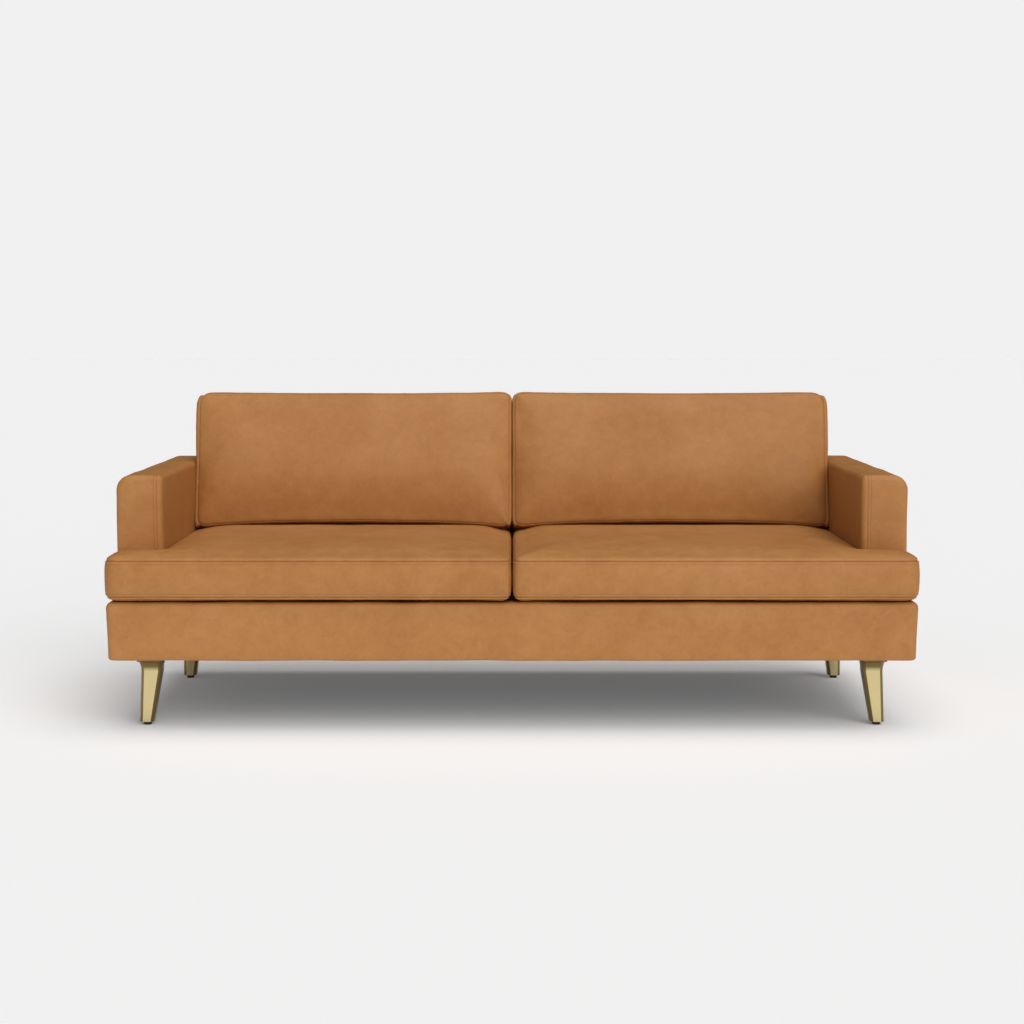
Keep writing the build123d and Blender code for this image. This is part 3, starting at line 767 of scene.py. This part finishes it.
back_outline = (low.x + 0.007, high.x - 0.009, 0.004, tall - 0.008, high.x - 0.009, tall - 0.008)
back_corners = [
    (back_outline[0], back_outline[2], 1, 1, 0.024), (back_outline[1], back_outline[2], -1, 1, 0.024),
    (back_outline[1], back_outline[3], -1, -1, 0.034), (back_outline[0], back_outline[3], 1, -1, 0.020)]
tape = [vert.co - origin for vert in frame["nodes"]["back_cushion_zip_right"].data.vertices]
tape = [Vector((co.x, co.dot(up), co.dot(ahead))) for co in tape]
tape_floor = max(co.z for co in tape)
back_zip = [Vector([edge(co[axis] for co in tape) for axis in range(3)]) for edge in (min, max)]
back_zip = (back_zip[0] - tape_room - Vector((0, 0, 0.02)), back_zip[1] + tape_room)
for side in ("right", "left"):
    name = "back_cushion_" + side
    seed = 4 if side == "right" else 13
    case = cushion_case(
        "back_cushion_leather_" + side, back_outline, rear_seam, front_seam, back_corners, back_top,
        back_under, back_bulges, turn=0.011, pressed=0.0, zip_box=back_zip, zip_side=2)
    for vert in members(case, "zip"):
        vert.co.z = tape_floor + tape_clearance
    for vert in case.data.vertices:
        inside = inside_by(vert.co.x, vert.co.y, back_outline)
        if vert.co.z > front_seam - 0.001:
            belly = math.exp(-((vert.co.y - belly_height) / belly_spread) ** 2)
            ramp = min(1, inside / belly_edge)
            vert.co.z += belly_depth * belly * math.sin(ramp * math.pi / 2)
    stuff(case, pressure=2.5, cap=0.006, seed=seed)
    crown = panel_rise(0.25, *seat_top)
    for vert in case.data.vertices:
        co = vert.co
        world_z = (origin + up * co.y + ahead * co.z).z
        widest = high.x + (side_room_high if world_z > arm_top + 0.02 else side_room_low)
        co.x = min(max(co.x, centre_gap), widest)
        co.y = max(co.y, 0.0)
        co.z = max(co.z, 0.0)
        to_edge = max(0.004, min(co.x - low.x, high.x - co.x))
        drop = crown - panel_rise(to_edge, *seat_top)
        co.y -= (drape * drop + settle) * max(0.0, 1 - co.y / settle_reach)
        hollow = math.sin(math.pi * (co.x - low.x) / (high.x - low.x))
        co.y -= top_hollow * hollow * max(0.0, co.y / tall) ** 4
    for vert in case.data.vertices:
        vert.co = Vector((vert.co.x, 0, 0)) + origin + up * vert.co.y + ahead * vert.co.z
    if side == "left":
        case.data.transform(Matrix.Scale(-1, 4, (1, 0, 0)))
        case.data.flip_normals()
    fill_case(case, "back_foam_" + side, name, "back_cushion_core_" + side)
    rows = finish_case(case, 2, seed)
    dress(case, name, "tan_leather", leather, "back_cushion_cover_" + side)
    stitch("back_stitching_" + side, rows, name)


# Legs: cast zinc with a satin brass plating, tapered and cut at the corners, flaring at the top
# into the plate that is bolted up to the corner block.

def plated_brass(flare_base):
    # Satin brass plating on a cast leg, brushed along its length, with painted shade and reflection: the front and
    # rear faces are pale gold, and the sides, cut corners, flare and plate are painted darker for the dark
    # surroundings they reflect and the shade under the base.
    material, tree, shader = new_material("satin brass plating")
    place = add_node(tree, "ShaderNodeTexCoord").outputs["Object"]
    stretch = add_node(tree, "ShaderNodeMapping", {"Vector": place, "Scale": (1, 1, 0.05)})
    brush_mm = 0.8
    brush = add_node(tree, "ShaderNodeTexNoise", {
        "Vector": stretch.outputs["Vector"], "Scale": 1000 / brush_mm, "Detail": 2.0})
    tint = add_node(tree, "ShaderNodeValToRGB", {"Fac": brush.outputs["Fac"]})
    tint.color_ramp.elements[0].color = srgb("#D6C48F")
    tint.color_ramp.elements[1].color = srgb("#E4D3A0")
    facing = add_node(tree, "ShaderNodeTexCoord").outputs["Normal"]
    frontal = add_node(tree, "ShaderNodeMath", {
        0: add_node(tree, "ShaderNodeSeparateXYZ", {"Vector": facing}).outputs["Y"]}, operation="ABSOLUTE")
    level = add_node(tree, "ShaderNodeSeparateXYZ", {"Vector": place}).outputs["Z"]
    # painted shade: 1 on the shank and fading to 0 up the flare, so the flare and plate take the dark painted
    # shade from the base above
    shank = add_node(tree, "ShaderNodeMapRange", {
        "Value": level, "From Min": flare_base, "From Max": flare_base + 0.012,
        "To Min": 1.0, "To Max": 0.0})
    # painted reflection and shade: faces square to the front and rear stay pale gold, and the sides and cut
    # corners turn dark
    painted_light_mask = add_node(tree, "ShaderNodeMapRange", {
        "Value": frontal.outputs[0], "From Min": 0.78, "From Max": 0.97, "To Min": 0.0,
        "To Max": shank.outputs["Result"]})
    # mixes the dark painted shade colour into the brushed brass tint
    painted_shade_mix = add_node(tree, "ShaderNodeMix", {
        0: painted_light_mask.outputs["Result"], 6: srgb("#7C6A42"), 7: tint.outputs["Color"]}, data_type="RGBA")
    tree.links.new(painted_shade_mix.outputs[2], shader.inputs["Base Color"])
    gloss = add_node(tree, "ShaderNodeMapRange", {
        "Value": brush.outputs["Fac"], "To Min": 0.17, "To Max": 0.26})
    tree.links.new(gloss.outputs["Result"], shader.inputs["Roughness"])
    shader.inputs["Metallic"].default_value = 1.0
    bump = add_node(tree, "ShaderNodeBump", {
        "Height": brush.outputs["Fac"], "Strength": 0.08, "Distance": 0.0003})
    tree.links.new(bump.outputs["Normal"], shader.inputs["Normal"])
    return material


def scale_about(middle, factor):
    bpy.ops.transform.resize(value=(factor, factor, 1), center_override=middle)


low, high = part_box("leg_front_right")
glide_low, glide_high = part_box("glide_front_right")
foot_middle = (glide_low + glide_high) / 2
foot_size, shank_size, plate_size = 0.0365, 0.054, high.x - low.x
plate_thick, flare, splay = 0.020, 0.027, 0.0135
corner_cut, foot_round, edge_ease = 0.008, 0.0015, 0.0013
shank_middle = Vector((foot_middle.x - splay, foot_middle.y + splay, 0))
plate_middle = Vector(((low.x + high.x) / 2, (low.y + high.y) / 2, 0))
shank_top = high.z - plate_thick - flare
brass = plated_brass(shank_top)
leg = add_block(
    "leg_casting_front_right",
    (foot_middle.x - foot_size / 2, foot_middle.y - foot_size / 2, low.z),
    (foot_middle.x + foot_size / 2, foot_middle.y + foot_size / 2, shank_top))
bpy.ops.object.mode_set(mode="EDIT")
pick(leg, "FACE", lambda m, a: a.z > 0.9)
bpy.ops.transform.translate(value=(shank_middle.x - foot_middle.x, shank_middle.y - foot_middle.y, 0))
scale_about(shank_middle, shank_size / foot_size)
size = shank_size
flare_steps = 12
for step in range(1, flare_steps + 1):
    turn = math.pi / 2 * step / flare_steps
    wider = shank_size + (plate_size - shank_size) * (1 - math.cos(turn))
    rise = flare * (math.sin(turn) - math.sin(turn - math.pi / 2 / flare_steps))
    shift = (plate_middle - shank_middle) / flare_steps
    bpy.ops.mesh.extrude_region_move(TRANSFORM_OT_translate={"value": (shift.x, shift.y, rise)})
    scale_about(shank_middle + shift * step, wider / size)
    size = wider
bpy.ops.mesh.extrude_region_move(TRANSFORM_OT_translate={"value": (0, 0, plate_thick)})
off_middle = 0.022
pick(leg, "EDGE", lambda m, a: abs(a.z) > 0.3 and (m - shank_middle).xy.length > off_middle)
bpy.ops.mesh.bevel(offset=corner_cut, segments=1)
pick(leg, "EDGE", lambda m, a: m.z < low.z + 0.0005)
bpy.ops.mesh.bevel(offset=foot_round, segments=3)
bpy.ops.object.mode_set(mode="OBJECT")
ease = leg.modifiers.new("ease", "BEVEL")
ease.width, ease.segments = edge_ease, 3
ease.limit_method, ease.angle_limit = "ANGLE", math.radians(25)
bpy.ops.object.modifier_apply(modifier="ease")
smooth(leg, 10)
for end, side in (("front", "right"), ("front", "left"), ("rear", "right"), ("rear", "left")):
    casting = leg.copy()
    casting.data = leg.data.copy()
    scene.collection.objects.link(casting)
    flip = Matrix.Diagonal((-1 if side == "left" else 1, -1 if end == "rear" else 1, 1, 1))
    casting.data.transform(flip)
    if (side == "left") != (end == "rear"):
        casting.data.flip_normals()
    casting.name = casting.data.name = f"leg_casting_{end}_{side}"
    dress(casting, "frame", "brass_finish", brass, f"leg_{end}_{side}")
bpy.data.objects.remove(leg)


# Everything left is finished from its own node: timber frame, springs, foam, cloth and fittings.

def sawn_pine():
    # Kiln-dried pine, sawn and planed: long grain along the boards with darker late wood.
    material, tree, shader = new_material("planed pine")
    place = add_node(tree, "ShaderNodeTexCoord").outputs["Object"]
    grain_mm = 7
    stretch = add_node(tree, "ShaderNodeMapping", {"Vector": place, "Scale": (0.12, 1, 1)})
    rings = add_node(tree, "ShaderNodeTexNoise", {
        "Vector": stretch.outputs["Vector"], "Scale": 1000 / grain_mm, "Detail": 4.0, "Distortion": 0.8})
    wood = add_node(tree, "ShaderNodeValToRGB", {"Fac": rings.outputs["Fac"]})
    wood.color_ramp.elements[0].color = srgb("#B98F5E")
    wood.color_ramp.elements[1].color = srgb("#DDBF8F")
    tree.links.new(wood.outputs["Color"], shader.inputs["Base Color"])
    shader.inputs["Roughness"].default_value = 0.65
    bump = add_node(tree, "ShaderNodeBump", {
        "Height": rings.outputs["Fac"], "Strength": 0.15, "Distance": 0.0006})
    tree.links.new(bump.outputs["Normal"], shader.inputs["Normal"])
    return material


finishes = {
    "frame_timber": sawn_pine(),
    "foam": foam,
    "spring_wire": speckled("oil-tempered spring wire", "#3A3836", "#5C5956", 2.0, 0.4, 1.0, 0.1),
    "fixing_steel": speckled("zinc-plated steel", "#A5A8AB", "#C6C9CC", 1.2, 0.35, 1.0, 0.1),
    "black_cloth": speckled("spun-bonded black cloth", "#141312", "#2A2826", 1.6, 0.9, 0.0, 0.5),
    "webbing": speckled("elastic webbing", "#2E2A26", "#4A433C", 1.8, 0.8, 0.0, 0.5),
    "black_plastic": speckled("moulded black nylon", "#0E0E0E", "#1C1C1C", 1.0, 0.45, 0.0, 0.1),
    "zip_metal": speckled("antique brass zip metal", "#6E5A34", "#9C8450", 1.0, 0.35, 1.0, 0.1),
    "zip_tape": speckled("woven polyester zip tape", "#5A3C24", "#7A5636", 1.0, 0.85, 0.0, 0.4),
}
for part in frame["record"]["subparts"]:
    node = frame["nodes"][part["node"]]
    if part["material_slot"] in finishes:
        node.data.materials.clear()
        node.data.materials.append(finishes[part["material_slot"]])
